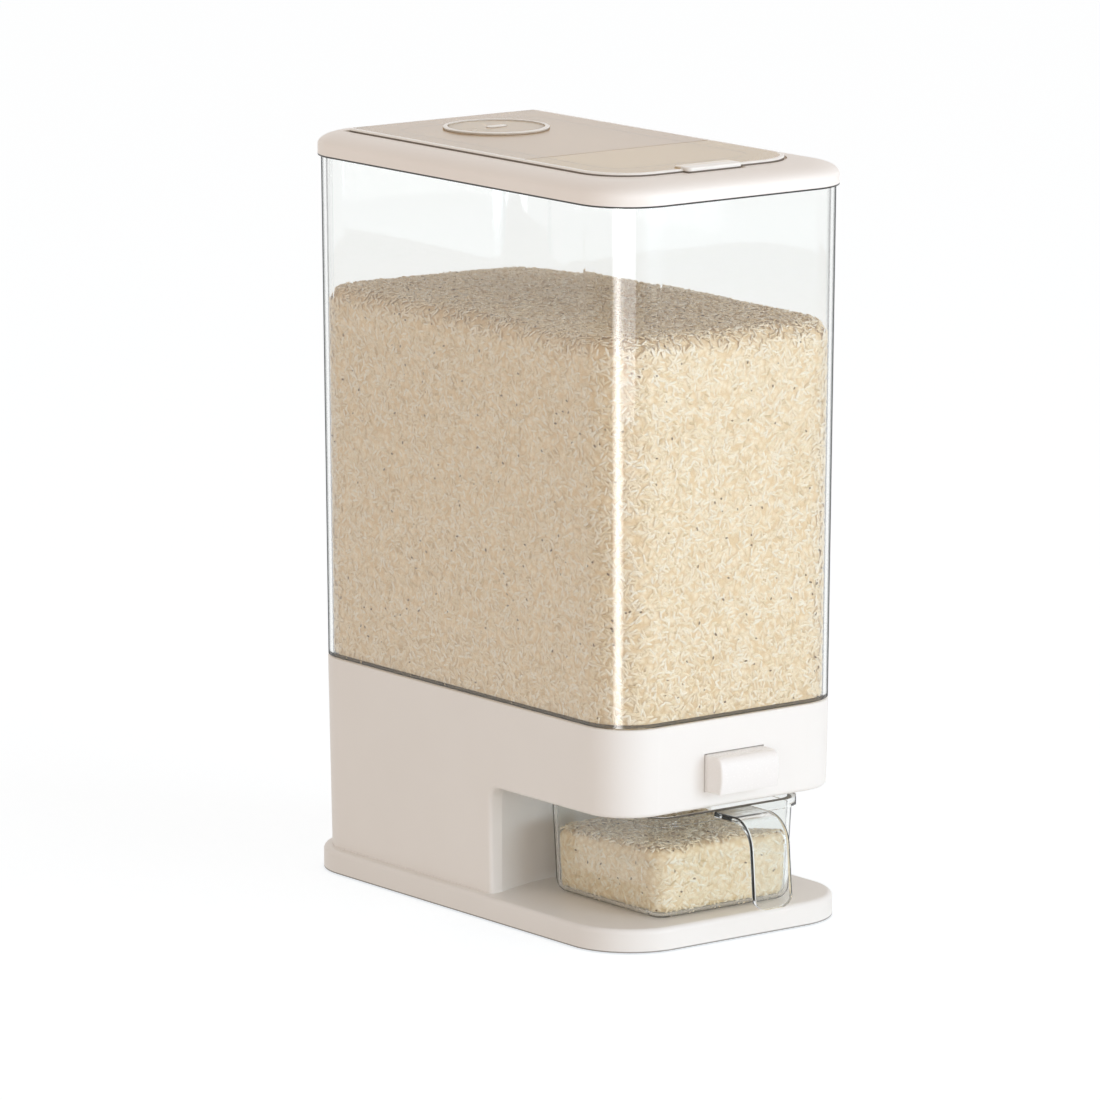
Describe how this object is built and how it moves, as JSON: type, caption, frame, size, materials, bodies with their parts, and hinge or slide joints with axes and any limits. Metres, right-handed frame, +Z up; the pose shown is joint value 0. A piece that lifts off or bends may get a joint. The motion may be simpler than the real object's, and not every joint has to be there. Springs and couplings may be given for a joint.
{
  "type": "rice dispenser",
  "caption": "Upright grain bin with a flip lid and a desiccant cap, on a base whose push button opens a gate above a pull-out measuring cup with a hook handle.",
  "frame": {"origin": "on the table, under the middle of the whole object's bounding box, with the cup's handle included", "axes": "+Z up, -Y towards the front with the button and the cup, +X to the right seen from the front"},
  "size_m": [0.168, 0.321, 0.418],
  "materials": {
    "white_plastic": "satin white ABS",
    "ivory_plastic": "satin warm white ABS",
    "clear_plastic": "clear polystyrene, polished",
    "tinted_plastic": "taupe translucent plastic, satin",
    "frosted_plastic": "translucent plastic, satin",
    "gate_plastic": "acetal, moulded",
    "seal_silicone": "translucent white silicone",
    "foot_rubber": "grey rubber",
    "zinc_steel": "zinc plated steel",
    "spring_steel": "stainless spring wire",
    "pin_steel": "polished stainless steel"
  },
  "bodies": {
    "base": {"base_plate": "white_plastic", "rubber_feet": "foot_rubber", "base_screws": "zinc_steel", "lower_housing": "white_plastic", "hopper": "white_plastic", "hopper_gasket": "seal_silicone", "outlet_seal": "seal_silicone", "spring_rods": "zinc_steel", "return_springs": "spring_steel", "container": "clear_plastic"},
    "button": {"push_button": "white_plastic", "gate_slide": "gate_plastic", "button_screws": "zinc_steel"},
    "cup": {"measuring_cup": "clear_plastic"},
    "lid": {"lid_frame": "ivory_plastic", "lid_seal": "seal_silicone", "hinge_pins": "pin_steel"},
    "flap": {"lid_panel": "tinted_plastic", "panel_seal": "seal_silicone", "desiccant_cup": "frosted_plastic"},
    "cap": {"desiccant_cap": "frosted_plastic", "cap_seal": "seal_silicone"}
  },
  "joints": [
    {"name": "button_press", "type": "slide", "parent": "base", "child": "button", "axis": [0, 1, 0], "range_m": [0, 0.012], "stiffness_N_per_m": 300, "springref_m": -0.008, "deforming": ["return_springs"]},
    {"name": "cup_pull", "type": "slide", "parent": "base", "child": "cup", "axis": [0, -1, 0], "range_m": [0, 0.13]},
    {"name": "lid_lift", "type": "slide", "parent": "base", "child": "lid", "axis": [0, 0, 1], "range_m": [0, 0.04]},
    {"name": "flap_hinge", "type": "hinge", "parent": "lid", "child": "flap", "pos_m": [0, 0.13251, 0.4126], "axis": [-1, 0, 0], "range_deg": [0, 100]},
    {"name": "cap_turn", "type": "hinge", "parent": "flap", "child": "cap", "pos_m": [0, 0.08551, 0.4168], "axis": [0, 0, 1], "range_deg": [0, 60]}
  ]
}
